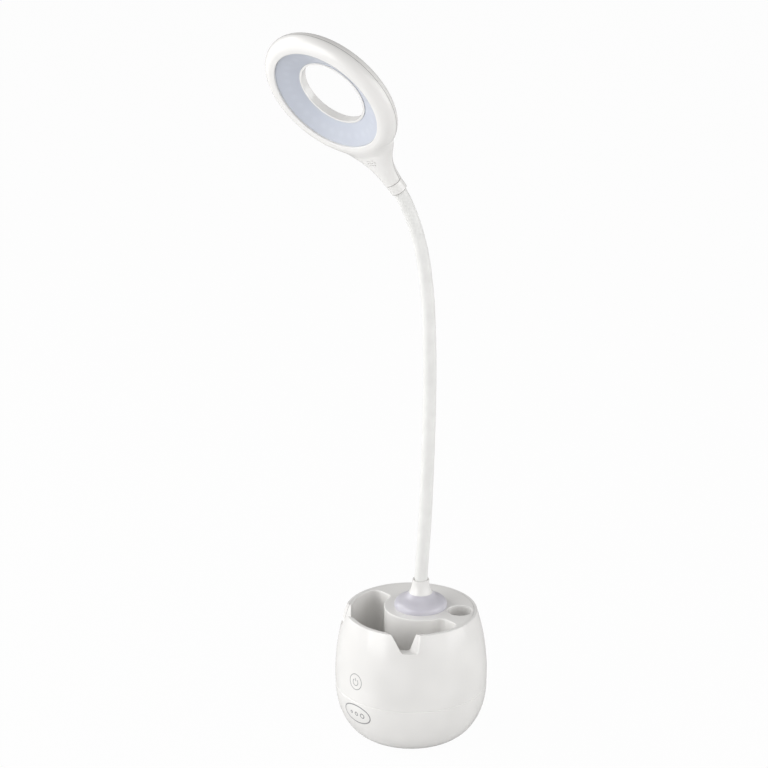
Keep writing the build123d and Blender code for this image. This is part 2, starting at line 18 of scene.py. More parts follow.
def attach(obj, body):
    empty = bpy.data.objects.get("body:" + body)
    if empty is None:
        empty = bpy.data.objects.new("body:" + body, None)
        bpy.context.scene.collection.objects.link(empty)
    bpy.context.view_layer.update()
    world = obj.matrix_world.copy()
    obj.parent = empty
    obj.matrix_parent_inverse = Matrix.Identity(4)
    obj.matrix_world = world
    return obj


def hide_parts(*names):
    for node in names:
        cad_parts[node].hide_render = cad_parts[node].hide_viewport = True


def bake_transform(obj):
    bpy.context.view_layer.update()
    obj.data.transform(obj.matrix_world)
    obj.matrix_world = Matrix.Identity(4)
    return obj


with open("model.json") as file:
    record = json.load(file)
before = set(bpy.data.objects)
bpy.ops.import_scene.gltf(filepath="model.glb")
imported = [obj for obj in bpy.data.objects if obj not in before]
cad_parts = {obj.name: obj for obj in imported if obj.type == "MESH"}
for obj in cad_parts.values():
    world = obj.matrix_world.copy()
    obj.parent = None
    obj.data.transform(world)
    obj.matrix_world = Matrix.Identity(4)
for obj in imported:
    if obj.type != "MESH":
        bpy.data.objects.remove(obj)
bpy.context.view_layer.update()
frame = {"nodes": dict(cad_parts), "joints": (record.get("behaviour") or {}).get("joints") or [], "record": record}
mm = 0.001
nodes = frame["nodes"]

# %% [markdown]
# ## Two helpers for colour and nodes
# Paint charts and pictures give colours as sRGB hex values, but a renderer adds up light, so it wants
# linear numbers. One function turns the first into the second. A second small function adds a shader node,
# sets its fields, and fills or links its sockets, so a material reads like a short recipe.

# %% Colour and node helpers


def colour(hex_value):
    """Linear RGBA from an sRGB hex value such as F2F1EE."""
    parts = [int(hex_value[i:i + 2], 16) / 255 for i in (0, 2, 4)]
    return [c / 12.92 if c <= 0.04045 else ((c + 0.055) / 1.055) ** 2.4 for c in parts] + [1.0]


def add(tree, kind, fields=None, **sockets):
    """Add a node. fields are its own settings; sockets hold values, or outputs to link.

    A socket is called by its name, with _ for a space, or by its number after an _.
    """
    made = tree.nodes.new(kind)
    for name, value in (fields or {}).items():
        setattr(made, name, value)
    for name, value in sockets.items():
        key = int(name[1:]) if name[0] == "_" else name.replace("_", " ")
        if isinstance(value, bpy.types.NodeSocket):
            tree.links.new(value, made.inputs[key])
        else:
            made.inputs[key].default_value = value
    return made


print("moulded white in linear light:", [round(c, 3) for c in colour("F1F0EE")])

# %% [markdown]
# ## A blank material
# Every finish starts the same way: a material with a Principled shader wired to its output. The numbers that
# are the same all over a surface go straight onto the shader. Where a surface has fine relief, a noise whose
# size is worked out in millimetres drives a Bump node.

# %% Blank material and relief


def finish(name, base, roughness, ior=1.5, metallic=0.0):
    """A material with a Principled shader, and the tree and shader to go on with."""
    made = bpy.data.materials.new(name)
    made.use_nodes = True
    tree = made.node_tree
    tree.nodes.clear()
    shader = add(tree, "ShaderNodeBsdfPrincipled", Base_Color=colour(base), Roughness=roughness,
                 IOR=ior, Metallic=metallic)
    add(tree, "ShaderNodeOutputMaterial", Surface=shader.outputs["BSDF"])
    return made, tree, shader


def place(tree, stretch=(1, 1, 1)):
    """Object coordinates, scaled along each axis."""
    own = add(tree, "ShaderNodeTexCoord")
    return add(tree, "ShaderNodeMapping", Vector=own.outputs["Object"], Scale=stretch).outputs["Vector"]


def relief(tree, shader, height, depth_mm, normal=None):
    """Bump a shader by a height field; depth_mm is how high a value of 1 stands."""
    made = add(tree, "ShaderNodeBump", Height=height, Distance=depth_mm * mm, Strength=1.0)
    if normal is not None:
        tree.links.new(normal, made.inputs["Normal"])
    tree.links.new(made.outputs["Normal"], shader.inputs["Normal"])
    return made.outputs["Normal"]


def grain(tree, size_mm, stretch=(1, 1, 1), detail=2.0):
    """Noise whose lumps are about size_mm across, as one value from 0 to 1."""
    return add(tree, "ShaderNodeTexNoise", Vector=place(tree, stretch), Scale=1 / (size_mm * mm),
               Detail=detail, Roughness=0.5).outputs["Fac"]


def shade_between(tree, shader, amount, dark, light, low=0.3, high=0.7):
    """Let the base colour drift between two hex values as amount goes from low to high."""
    ramp = add(tree, "ShaderNodeValToRGB", Fac=amount)
    ramp.color_ramp.elements[0].position, ramp.color_ramp.elements[1].position = low, high
    ramp.color_ramp.elements[0].color, ramp.color_ramp.elements[1].color = colour(dark), colour(light)
    tree.links.new(ramp.outputs["Color"], shader.inputs["Base Color"])


# %% [markdown]
# ## Glossy white ABS
# The pot, deck, boot and head shells are ABS, injection-moulded in polished tools. To the eye that is a
# clean white with a clear, slightly soft reflection. A polished moulding is never quite flat: a very shallow
# "orange peel" about 3 mm across makes the reflections waver. White plastic also drifts a little in tone
# where it cooled at another pace, so the colour moves by a few percent over some 30 mm.

# %% ABS, injection-moulded, polished
moulded_white, polished, abs_ior = "F1F0EE", 0.2, 1.54
peel_size, peel_depth, tone_drift = 3.0, 0.012, 30    # in millimetres


def orange_peel(tree, shader):
    """The shallow waviness of a polished moulding, as relief."""
    return relief(tree, shader, grain(tree, peel_size, detail=1.0), peel_depth)


abs_white, tree, shader = finish("abs_white_polished_mould", moulded_white, polished, ior=abs_ior)
shade_between(tree, shader, grain(tree, tone_drift, detail=1.0), "ECEBE9", "F3F2F0")
orange_peel(tree, shader)

# %% [markdown]
# ## The head's own frame
# Some patterns on the head, such as the line where its two shells meet, are simplest to describe as seen from
# the head itself. We work out that frame from the model's own numbers: the neck's last joint, how far the head
# leans, and how far it is turned about its stem. A Mapping node then turns object coordinates into head
# coordinates inside a material.

# %% Head frame
neck_joints = [Vector(j["pos_m"]) for j in frame["joints"]]
plane_turn = math.radians(-27.0)    # the upright plane that the neck bends in, turned from the front
forward = Vector((math.sin(plane_turn), -math.cos(plane_turn), 0))
across = Vector((math.cos(plane_turn), math.sin(plane_turn), 0))
head_tilt, head_turn = math.radians(33.9), math.radians(31.0)
ring_above_joint = 95.5             # mm along the stem, from the last joint to the ring's centre
head_up = forward * math.sin(head_tilt) + Vector((0, 0, math.cos(head_tilt)))
ring_centre = neck_joints[-1] + head_up * ring_above_joint * mm
stem_side = Matrix.Rotation(head_turn, 3, head_up) @ across
# ring frame: X along the stem's side, Y up the stem, Z towards the lit side
ring_axes = Matrix((stem_side, head_up, stem_side.cross(head_up))).transposed()
print("ring centre (mm):", [round(c / mm, 1) for c in ring_centre])
print("lit side looks along:", [round(c, 3) for c in ring_axes.col[2]])


def head_place_of(tree):
    """Object coordinates turned into the ring's frame, in metres."""
    turn = ring_axes.transposed()
    own = add(tree, "ShaderNodeTexCoord")
    return add(tree, "ShaderNodeMapping", Vector=own.outputs["Object"],
               Rotation=turn.to_euler(), Location=-(turn @ ring_centre)).outputs["Vector"]


# %% [markdown]
# ## Head shells with their parting line
# The head is a front and a back shell, screwed together. Where they meet, the moulded edges are a little round,
# which shows as a hairline round the outside of the ring and down both sides of the stem. The line lies in one
# plane, so the material only needs the distance from that plane, in the head's frame: the bump sinks in there,
# and the colour darkens there as painted shade in the groove. Inside the ring's mid circle the shells don't meet
# at a visible edge, so there is no line.

# %% Head shell finish
ring_mid = 45.2                     # mm from the ring's centre to the middle of its tube
seam_plane, seam_half = -1.0 * mm, 0.22 * mm
seam_fade = 1.6                     # a line has faded out at this many half widths


def fade_from(tree, measure, level, half):
    """0 where measure equals level, rising smoothly to 1 to both sides of it."""
    off = add(tree, "ShaderNodeMath", {"operation": "SUBTRACT"}, _0=measure, _1=level)
    away = add(tree, "ShaderNodeMath", {"operation": "ABSOLUTE"}, _0=off.outputs[0])
    return add(tree, "ShaderNodeMapRange", {"interpolation_type": "SMOOTHSTEP"}, Value=away.outputs[0],
               From_Min=0.0, From_Max=half * seam_fade, To_Min=0.0, To_Max=1.0).outputs[0]


def length_of(tree, a, b):
    """The length of a step whose two parts, a and b, are square to each other."""
    a_squared = add(tree, "ShaderNodeMath", {"operation": "MULTIPLY"}, _0=a, _1=a).outputs[0]
    total = add(tree, "ShaderNodeMath", {"operation": "MULTIPLY_ADD"}, _0=b, _1=b, _2=a_squared).outputs[0]
    return add(tree, "ShaderNodeMath", {"operation": "SQRT"}, _0=total).outputs[0]


head_shell, tree, shader = finish("abs_white_head_shells", moulded_white, polished, ior=abs_ior)
on_head = add(tree, "ShaderNodeSeparateXYZ", Vector=head_place_of(tree)).outputs
clear_of_seam = fade_from(tree, on_head["Z"], seam_plane, seam_half)
inside_ring = add(tree, "ShaderNodeMath", {"operation": "LESS_THAN"},
                  _0=length_of(tree, on_head["X"], on_head["Y"]), _1=ring_mid * mm)
flat = add(tree, "ShaderNodeMath", {"operation": "MAXIMUM"}, _0=clear_of_seam, _1=inside_ring.outputs[0])
# painted shade: the colour darkens to A9A8A6 along the parting line, standing in for the shade in its groove
shade_between(tree, shader, flat.outputs[0], "A9A8A6", moulded_white, 0.0, 1.0)
relief(tree, shader, flat.outputs[0], 0.2, orange_peel(tree, shader))
print("head shells: parting line", 2 * seam_half / mm, "mm wide")

# %% [markdown]
# ## Ferrule
# The collar under the stem is its own moulding. It has two fine gaps, drawn as a shallow groove with painted
# shade in it: one where it meets the shells, and one at its lower edge, which is rolled in to the sleeve. Both lie
# square to the stem, so they are drawn as the parting line is, by the distance along the stem.

# %% Ferrule finish
gap_lines = ((-79.1, 0.42), (-87.3, 0.3))    # mm along the stem from the ring's centre, and half the width
ferrule_white, tree, shader = finish("abs_white_ferrule", moulded_white, polished, ior=abs_ior)
along_stem = add(tree, "ShaderNodeSeparateXYZ", Vector=head_place_of(tree)).outputs["Y"]
clear_of_gaps = [fade_from(tree, along_stem, level * mm, half * mm) for level, half in gap_lines]
flat = add(tree, "ShaderNodeMath", {"operation": "MINIMUM"}, _0=clear_of_gaps[0], _1=clear_of_gaps[1])
# painted shade: the colour darkens to 8F8C89 in the two gaps, standing in for the shade that falls there
shade_between(tree, shader, flat.outputs[0], "8F8C89", moulded_white, 0.0, 1.0)
relief(tree, shader, flat.outputs[0], 0.25, orange_peel(tree, shader))
print("ferrule: gap lines at", [-level for level, half in gap_lines], "mm from the ring's centre")

# %% [markdown]
# ## Silicone sleeve
# The neck is a wound steel core in a sleeve of silicone rubber, extruded over it. Silicone is satin: it has a
# broad soft highlight and no sharp reflection. Extrusion leaves very faint lines along the length, far too fine
# to see one by one, so they are drawn about 1 mm wide and 10 mm long and only break up the highlight.

# %% Silicone rubber, extruded
silicone, tree, shader = finish("silicone_white_extruded", "EFEFED", 0.42, ior=1.43)
shade_between(tree, shader, grain(tree, 12, detail=1.0), "EBEBE9", "F1F1EF")
relief(tree, shader, grain(tree, 1.0, stretch=(1, 1, 0.1)), 0.008)

# %% [markdown]
# ## Opal light ring
# The cone round the hole is opal acrylic, moulded with a finely spark-eroded face. It scatters light inside, so
# it looks soft and slightly lavender-blue by day, and the light-emitting diodes behind it show as a ring of
# faint paler spots, 12 degrees apart and 35 mm from the centre. The spots are worked out in the head's frame
# from the angle and the distance to the centre.

# %% Acrylic, opal, spark-eroded
opal_base, opal_spot = "CACFDA", "CDD2DD"
led_count, led_circle = 30, 35 * mm
spot_core, spot_edge = 0.8 * mm, 3.2 * mm
opal, tree, shader = finish("acrylic_opal_satin", opal_base, 0.25, ior=1.49)
on_head = add(tree, "ShaderNodeSeparateXYZ", Vector=head_place_of(tree)).outputs
angle = add(tree, "ShaderNodeMath", {"operation": "ARCTAN2"}, _0=on_head["Y"], _1=on_head["X"])
steps = add(tree, "ShaderNodeMath", {"operation": "MULTIPLY"}, _0=angle.outputs[0], _1=led_count / math.tau)
wrapped = add(tree, "ShaderNodeMath", {"operation": "WRAP"}, _0=steps.outputs[0], _1=1.0, _2=0.0)
from_spot = add(tree, "ShaderNodeMath", {"operation": "SUBTRACT"}, _0=wrapped.outputs[0], _1=0.5)
along = add(tree, "ShaderNodeMath", {"operation": "MULTIPLY"}, _0=from_spot.outputs[0],
            _1=led_circle * math.tau / led_count)
radial = add(tree, "ShaderNodeMath", {"operation": "SUBTRACT"},
             _0=length_of(tree, on_head["X"], on_head["Y"]), _1=led_circle)
glow = add(tree, "ShaderNodeMapRange", {"interpolation_type": "SMOOTHSTEP"},
           Value=length_of(tree, along.outputs[0], radial.outputs[0]),
           From_Min=spot_core, From_Max=spot_edge, To_Min=1.0, To_Max=0.0)
shade_between(tree, shader, glow.outputs[0], opal_base, opal_spot, 0.0, 1.0)
shader.inputs["Subsurface Weight"].default_value = 0.35
shader.inputs["Subsurface Radius"].default_value = (1.0, 1.0, 1.1)
shader.inputs["Subsurface Scale"].default_value = 2.5 * mm
relief(tree, shader, grain(tree, 0.7), 0.004)
print("opal ring:", led_count, "spots,", round(led_circle / mm * math.tau / led_count, 1), "mm apart")

# %% [markdown]
# ## Frosted night light
# The low dome round the neck's foot is a moulded polycarbonate lens with a frosted face. It is a touch more
# lavender than the light ring, with a soft sheen from the studio lights.

# %% Polycarbonate, frosted
frosted, tree, shader = finish("polycarbonate_frosted", "D0CFD7", 0.28, ior=1.58)
shade_between(tree, shader, grain(tree, 14, detail=1.0), "CDCBD4", "D3D2DA")
shader.inputs["Subsurface Weight"].default_value = 0.35
shader.inputs["Subsurface Radius"].default_value = (1.0, 1.0, 1.1)
shader.inputs["Subsurface Scale"].default_value = 2.0 * mm
relief(tree, shader, grain(tree, 0.8), 0.004)

# %% [markdown]
# ## Rubber, steel and what lies inside
# The underside has a disc of moulded rubber, matt with a fine stipple. Screws and the neck's fittings are
# zinc-plated steel, the charge socket is a bent nickel-plated shell. Inside are circuit boards with a
# solder mask over woven glass, a shrink-wrapped cell and a plain moulded cradle. Nobody sees those
# from outside, but each still gets the finish that it has.

# %% Finishes of the small and inner parts
rubber, tree, shader = finish("rubber_grey_moulded", "55565A", 0.75, ior=1.52)
shade_between(tree, shader, grain(tree, 6), "4E4F53", "5C5D61")
relief(tree, shader, grain(tree, 0.9), 0.03)

steel, tree, shader = finish("steel_zinc_plated", "B9BABC", 0.32, metallic=1.0)
shade_between(tree, shader, grain(tree, 2.5), "AEAFB1", "C4C5C7")
relief(tree, shader, grain(tree, 0.6, stretch=(1, 1, 6)), 0.004)

nickel, tree, shader = finish("steel_nickel_plated_bent", "C7C6C3", 0.22, metallic=1.0)
shade_between(tree, shader, grain(tree, 3.0), "BDBCB8", "D0CFCC")
relief(tree, shader, grain(tree, 0.5, stretch=(1, 8, 1)), 0.003)

copper, tree, shader = finish("copper_sheet_bare", "C88A63", 0.34, metallic=1.0)
shade_between(tree, shader, grain(tree, 3.0), "BC7C55", "D2986F")

wrap, tree, shader = finish("pvc_shrink_wrap_blue", "3F6FA3", 0.3, ior=1.53)
shade_between(tree, shader, grain(tree, 5.0), "39679A", "467AB0")
relief(tree, shader, grain(tree, 2.0, stretch=(0.2, 1, 1)), 0.02)

cradle, tree, shader = finish("abs_black_moulded_inner", "2C2D2F", 0.5, ior=1.54)
shade_between(tree, shader, grain(tree, 4.0), "28292B", "323335")
relief(tree, shader, grain(tree, 0.5), 0.01)

board, tree, shader = finish("glass_laminate_green_mask", "1F5C3C", 0.3, ior=1.5)
shade_between(tree, shader, grain(tree, 0.8, stretch=(1, 4, 1)), "1B5236", "246846")
relief(tree, shader, grain(tree, 0.8, stretch=(4, 1, 1)), 0.01)

white_board, tree, shader = finish("laminate_white_mask", "EDEDE8", 0.4, ior=1.5)
shade_between(tree, shader, grain(tree, 1.5), "E8E8E2", "F1F1ED")

phosphor, tree, shader = finish("silicone_phosphor_yellow", "F0DC8C", 0.35, ior=1.43)
shade_between(tree, shader, grain(tree, 0.8), "EBD27A", "F5E4A0")

# %% [markdown]
# ## Give each CAD part its finish
# The model's record names a finish slot for each part. One table turns slots into our materials, and a few
# parts, such as the head shells and the charge socket, get a closer match than their slot.

# %% Assign the materials
by_slot = {
    "shell_white": abs_white, "sleeve_white": silicone, "diffuser_milky": opal, "dome_frosted": frosted,
    "foot_rubber": rubber, "steel": steel, "copper": copper, "cell_wrap": wrap, "inner_plastic": cradle,
    "circuit_board": board, "board_white": white_board, "led_body": phosphor,
}
closer = {
    "head_bezel": head_shell, "head_cover": head_shell, "ferrule": ferrule_white, "charge_socket": nickel,
}
for row in frame["record"]["subparts"]:
    part = nodes[row["node"]]
    part.data.materials.clear()
    part.data.materials.append(closer.get(row["node"], by_slot[row["material_slot"]]))

# %% [markdown]
# ## The sleeve as one smooth bend
# In the CAD model the neck is a chain of short stretches with hinges between them, so that physics can bend it.
# The real sleeve has no joints to see. So each joint gets its own piece of sleeve, from the middle of one
# stretch to the middle of the next, following a curve that leaves one stretch and meets the other without a
# kink. Neighbours meet in the middle of a stretch.

# %% From a built mesh to an object in the scene


def make_object(name, mesh, material):
    """Turn a finished bmesh into an object with one material."""
    bmesh.ops.recalc_face_normals(mesh, faces=mesh.faces)
    data = bpy.data.meshes.new(name)
    mesh.to_mesh(data)
    mesh.free()
    data.materials.append(material)
    made = bpy.data.objects.new(name, data)
    bpy.context.scene.collection.objects.link(made)
    return made


# %% Neck sleeve pieces
sleeve_radius = 4.75 * mm
half_stretch, tail_reach = 18.0 * mm, 12.0 * mm
sides, slices = 56, 30
stretch_count = 8
neck_dirs = [Vector((0, 0, 1))]
neck_dirs += [(b - a).normalized() for a, b in zip(neck_joints, neck_joints[1:])]
neck_dirs.append(head_up)


def sleeve_piece(name, start, corner, end):
    """A closed tube along the curve that starts towards the corner point and ends coming from it."""
    mesh = bmesh.new()
    rings = []
    for i in range(slices + 1):
        t = i / slices
        point = start * (1 - t) ** 2 + corner * 2 * t * (1 - t) + end * t ** 2
        direction = ((corner - start) * (1 - t) + (end - corner) * t).normalized()
        front = direction.cross(across)
        rings.append([
            mesh.verts.new(point + (across * math.cos(a) + front * math.sin(a)) * sleeve_radius)
            for a in (math.tau * n / sides for n in range(sides))])
    for low, high in zip(rings, rings[1:]):
        for n in range(sides):
            face = mesh.faces.new((low[n], low[(n + 1) % sides], high[(n + 1) % sides], high[n]))
            face.smooth = True
    caps = [mesh.faces.new(list(reversed(rings[0]))), mesh.faces.new(rings[-1])]
    for cap in caps:
        for edge in cap.edges:
            edge.smooth = False
    return make_object(name, mesh, silicone)


for k, joint in enumerate(neck_joints):
    reach_after = tail_reach if k == stretch_count else half_stretch
    start = joint - neck_dirs[k] * half_stretch
    end = joint + neck_dirs[k + 1] * reach_after
    piece = sleeve_piece(f"neck_sleeve_bend_{k + 1}", start, joint, end)
    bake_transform(piece)
    stands_for = ["neck_root"] if k == 0 else []
    stands_for += ["neck_tail"] if k == stretch_count else [f"neck_sleeve_{k + 1}"]
    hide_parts(*stands_for)
print("sleeve pieces:", len(neck_joints))

# %% [markdown]
# ## A soft transition from stem to ring
# On the CAD shells the stem runs into the round ring with a crease. The real shells flow into each other there,
# so a thin fillet lies over the crease, front and back. In each plane through the ring's axis the ring's
# outline is known, and the stem's is felt out with rays cast onto the shell. A curve that leaves one and joins
# the other in line with it (a Hermite curve) gives the fillet's section, and the rows together its surface.

# %% Fillets between stem and ring, in millimetres
ring_tube = 7.5                         # radius of the ring's tube
fillet_reach, fillet_turn = 4.4, 31.0   # mm to each side of the crease, degrees to each side of the stem
half_rows, row_steps = 30, 14
end_narrowing = 0.995                   # 1 would bring the first and last row to a point
skin_depth, skin_lift = 0.25, 0.015     # how thick the skin is, and how far it stands off the shell
feeler_start = 20                       # how far from the ring's mid plane the rays start
search_start, search_step = 1, 0.05     # the search for the crease goes outwards from the ring's mid circle
stem_shows = 0.05                       # the stem has begun where the shell stands this far off the round tube
inner_stop, rim_margin = 0.4, 0.1       # how far inside the mid circle, and how near the rim, a row may go
lowest_join, back_step = 0.9, 0.1       # a row that would join lower than this steps back inwards
slope_span, edge_span = 0.1, 0.3        # how far apart the heights are taken for a slope
steepest_fall, steepest_rise = -3, 1    # a slope outside these was taken over the shell's edge


def head_point(x, y, z):
    """A point given in millimetres in the ring's frame, in metres in the scene."""
    return ring_centre + ring_axes @ (Vector((x, y, z)) * mm)


def ring_height(out):
    """How far the ring's round tube stands from its mid plane, out from the centre."""
    return math.sqrt(max(0.0, ring_tube ** 2 - (out - ring_mid) ** 2))


def hermite(t, run, start, start_slope, end, end_slope):
    """The height at share t of a curve over run that has the given slopes where it starts and ends."""
    return (start * (2 * t ** 3 - 3 * t ** 2 + 1) + start_slope * run * (t ** 3 - 2 * t ** 2 + t)
            + end * (3 * t ** 2 - 2 * t ** 3) + end_slope * run * (t ** 3 - t ** 2))


def crease_fillet(name, shell, side):
    """A closed skin over the crease on one shell; side is 1 at the front and -1 at the back."""
    data = nodes[shell].data
    surface = BVHTree.FromPolygons([v.co for v in data.vertices], [list(p.vertices) for p in data.polygons])

    def height(out, turn):
        """How far the shell stands from the ring's mid plane, out from the centre at an angle."""
        start = head_point(out * math.cos(turn), out * math.sin(turn), side * feeler_start)
        where, _, _, drop = surface.ray_cast(start, ring_axes @ Vector((0, 0, -side)))
        return feeler_start - drop / mm if where else -1.0

    def section(off_middle):
        """The fillet's curve in the plane off_middle degrees from the middle of the stem."""
        turn = math.radians(-90 + off_middle)
        reach = fillet_reach * math.sqrt(1 - (off_middle / fillet_turn) ** 2 * end_narrowing)
        crease = ring_mid + search_start
        while (crease < ring_mid + ring_tube - rim_margin
               and height(crease, turn) - ring_height(crease) < stem_shows):
            crease += search_step
        before = max(crease - reach, ring_mid - inner_stop)
        after = crease + reach
        while height(after, turn) < lowest_join and after > crease:
            after -= back_step
        slope_before = -(before - ring_mid) / ring_height(before)
        slope_after = (height(after + slope_span, turn) - height(after - slope_span, turn)) / (2 * slope_span)
        if not steepest_fall < slope_after < steepest_rise:
            slope_after = (height(after, turn) - height(after - edge_span, turn)) / edge_span
        run = after - before
        points = []
        for j in range(row_steps + 1):
            t = j / row_steps
            z = hermite(t, run, ring_height(before), slope_before, height(after, turn), slope_after)
            out = before + run * t
            points.append((out * math.cos(turn), out * math.sin(turn), side * (z + skin_lift)))
        return points

    mesh = bmesh.new()
    last_row = 2 * half_rows
    rows = [section((i / half_rows - 1) * fillet_turn) for i in range(last_row + 1)]
    top = [[mesh.verts.new(head_point(*p)) for p in row] for row in rows]
    low = [[mesh.verts.new(head_point(p[0], p[1], p[2] - side * skin_depth)) for p in row] for row in rows]
    for skin in (top, low):
        for a, b in zip(skin, skin[1:]):
            for j in range(row_steps):
                face = mesh.faces.new((a[j], a[j + 1], b[j + 1], b[j]))
                face.smooth = True
    border = [(i, 0) for i in range(last_row)] + [(last_row, j) for j in range(row_steps)]
    border += [(i, row_steps) for i in range(last_row, 0, -1)] + [(0, j) for j in range(row_steps, 0, -1)]
    for (i, j), (k, m) in zip(border, border[1:] + border[:1]):
        mesh.faces.new((top[i][j], top[k][m], low[k][m], low[i][j]))
        for pair in ((top[i][j], top[k][m]), (low[i][j], low[k][m])):
            mesh.edges.get(pair).smooth = False
    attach(make_object(name, mesh, head_shell), "head")


crease_fillet("stem_fillet_front", "head_bezel", 1)
crease_fillet("stem_fillet_back", "head_cover", -1)
print("fillets reach", fillet_reach, "mm to each side of the crease")

# %% [markdown]
# ## Painted shade behind the vent holes
# The stem's front has ten small round vents. Against a white inside they would hardly show. Each hole gets a
# small dark plug, painted shade that stands in for the dark inside of the hole, a little below the surface, and
# all ten together are one piece.

# %% Vent plugs of painted shade
# painted shade: the plugs' dark colour and fine relief stand in for the shade inside the vents
vent_shade_finish, tree, shader = finish("painted_vent_shade", "55534F", 0.9, ior=1.45)
shade_between(tree, shader, grain(tree, 0.3), "45433F", "63615C")
relief(tree, shader, grain(tree, 0.15), 0.05)
vent_pitch, vent_middle = 2.3, -57.5    # mm between vents, and from the ring's centre to their middle
row_pitch = vent_pitch * 0.87           # rows half a pitch apart lie closer, by the sine of 60 degrees
stem_front, stem_bow = 5.9, 0.012       # mm from the ring's mid plane, and how it falls away to the sides
plug_radius, plug_top, plug_foot, plug_sides = 0.445, 0.45, 1.3, 16
vent_shade_mesh = bmesh.new()
for row in (-1, 0, 1):
    count = 4 - abs(row)
    for i in range(count):
        x = (i - (count - 1) / 2) * vent_pitch
        y = vent_middle + row * row_pitch
        front = stem_front - stem_bow * x * x
        foot, top = [
            [vent_shade_mesh.verts.new(head_point(x + plug_radius * math.cos(a), y + plug_radius * math.sin(a), z))
             for a in (math.tau * n / plug_sides for n in range(plug_sides))]
            for z in (front - plug_foot, front - plug_top)]
        for n in range(plug_sides):
            after = (n + 1) % plug_sides
            vent_shade_mesh.faces.new((foot[n], foot[after], top[after], top[n]))
        vent_shade_mesh.faces.new(list(reversed(foot)))
        vent_shade_mesh.faces.new(top)
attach(make_object("vent_shade_plugs", vent_shade_mesh, vent_shade_finish), "head")

# %% [markdown]
# ## Printed marks on the pot
# A ring with a simple sign shows where to touch the pot, and lower down there is a small oval mark. Both are
# pad-printed in grey ink, a layer far thinner than paper. A print follows the surface under it, so each mark
# is drawn flat, as strokes in millimetres, and every point is then laid on the pot's own round form.

# %% Printed marks
ink, tree, shader = finish("pad_print_ink_grey", "8D8D8F", 0.38, ior=1.5)
shade_between(tree, shader, grain(tree, 0.4), "868688", "98989A")

# the pot's outline, in millimetres, as in the CAD model
rim_radius, rim_height = 47.6, 97.5
belly_radius, parting_radius, parting_height = 53.9, 55.0, 40.9
floor_radius, foot_height = 28.0, 1.0
mid_height = (rim_height + parting_height) / 2
print_lift, print_root = 0.02, -0.05    # a print's face stands off the pot, its foot lies under the surface


def circle_through(a, b, c):
    """Centre and radius of the circle through three (radius, height) points."""
    d = 2 * (a[0] * (b[1] - c[1]) + b[0] * (c[1] - a[1]) + c[0] * (a[1] - b[1]))
    sq = [p[0] ** 2 + p[1] ** 2 for p in (a, b, c)]
    x = (sq[0] * (b[1] - c[1]) + sq[1] * (c[1] - a[1]) + sq[2] * (a[1] - b[1])) / d
    y = (sq[0] * (c[0] - b[0]) + sq[1] * (a[0] - c[0]) + sq[2] * (b[0] - a[0])) / d
    return x, y, math.dist((x, y), a)


wall_arc = circle_through(
    (parting_radius, parting_height), (belly_radius, mid_height), (rim_radius, rim_height))


def pot_radius(height):
    """Outer radius of the pot at a height, in millimetres."""
    if height >= parting_height:
        return wall_arc[0] + math.sqrt(wall_arc[2] ** 2 - (height - wall_arc[1]) ** 2)
    drop = (parting_height - height) / (parting_height - foot_height)
    return floor_radius + (parting_radius - floor_radius) * math.sqrt(max(0.0, 1 - drop ** 2))


def on_pot(x, height, lift):
    """The point on the pot's front above x, at a height, lifted off the surface, in metres."""
    radius = pot_radius(height)
    around = x / radius
    return Vector((math.sin(around), -math.cos(around), 0)) * (radius + lift) * mm + Vector((0, 0, height * mm))


def printed(name, strokes):
    """Strokes are (points, width, closed); each becomes a thin closed band that lies on the pot."""
    mesh = bmesh.new()
    for points, width, closed in strokes:
        count = len(points)
        rows = []
        for i, (x, z) in enumerate(points):
            before = points[i - 1] if closed or i else points[i]
            after = points[(i + 1) % count] if closed or i < count - 1 else points[i]
            run = Vector((after[0] - before[0], after[1] - before[1])).normalized()
            side = Vector((-run.y, run.x)) * width / 2
            rows.append([mesh.verts.new(on_pot(x + s * side.x, z + s * side.y, lift))
                         for s, lift in ((1, print_root), (1, print_lift), (-1, print_lift), (-1, print_root))])
        pairs = list(zip(rows, rows[1:])) + ([(rows[-1], rows[0])] if closed else [])
        for a, b in pairs:
            for n in range(4):
                mesh.faces.new((a[n], a[(n + 1) % 4], b[(n + 1) % 4], b[n]))
        if not closed:
            mesh.faces.new(rows[0])
            mesh.faces.new(list(reversed(rows[-1])))
    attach(make_object(name, mesh, ink), "base")


def oval(cx, cz, rx, rz, start=0, turn=360, count=64):
    """Points on an oval or part of one, in degrees from +X."""
    return [(cx + rx * math.cos(math.radians(start + turn * i / count)),
             cz + rz * math.sin(math.radians(start + turn * i / count)))
            for i in range(count + (0 if turn == 360 else 1))]


touch_height, touch_radius, touch_line = 57.0, 5.9, 0.5
sign_radius, sign_start, sign_turn, sign_drop = 2.5, 125, 290, 0.3
sign_stroke = (0.6, 3.0)
printed("touch_mark", [
    (oval(0, touch_height, touch_radius, touch_radius), touch_line, True),
    (oval(0, touch_height - sign_drop, sign_radius, sign_radius, start=sign_start, turn=sign_turn, count=40),
     touch_line, False),
    ([(0, touch_height + rise) for rise in sign_stroke], touch_line, False),
])
mark_height, mark_width, mark_rise, mark_line = 31.3, 13.0, 7.1, 0.8
small_rings = ((-5.2, 0.9, 20), (0, 1.3, 24), (5.8, 1.7, 28))    # place, radius, points on it
small_line = 0.7
printed("oval_mark", [(oval(0, mark_height, mark_width, mark_rise), mark_line, True)]
        + [(oval(x, mark_height, r, r, count=n), small_line, True) for x, r, n in small_rings])
print("pot radius at the touch mark:", round(pot_radius(touch_height), 2), "mm")

# %% [markdown]
# ## Floor
# The lamp stands on a plain pale floor. To the camera it looks almost white, also where it is seen through a
# clear material, by a share of even glow. For the light it is a light grey paint, so it throws less light up
# at the plastic and keeps the lamp's shadow.

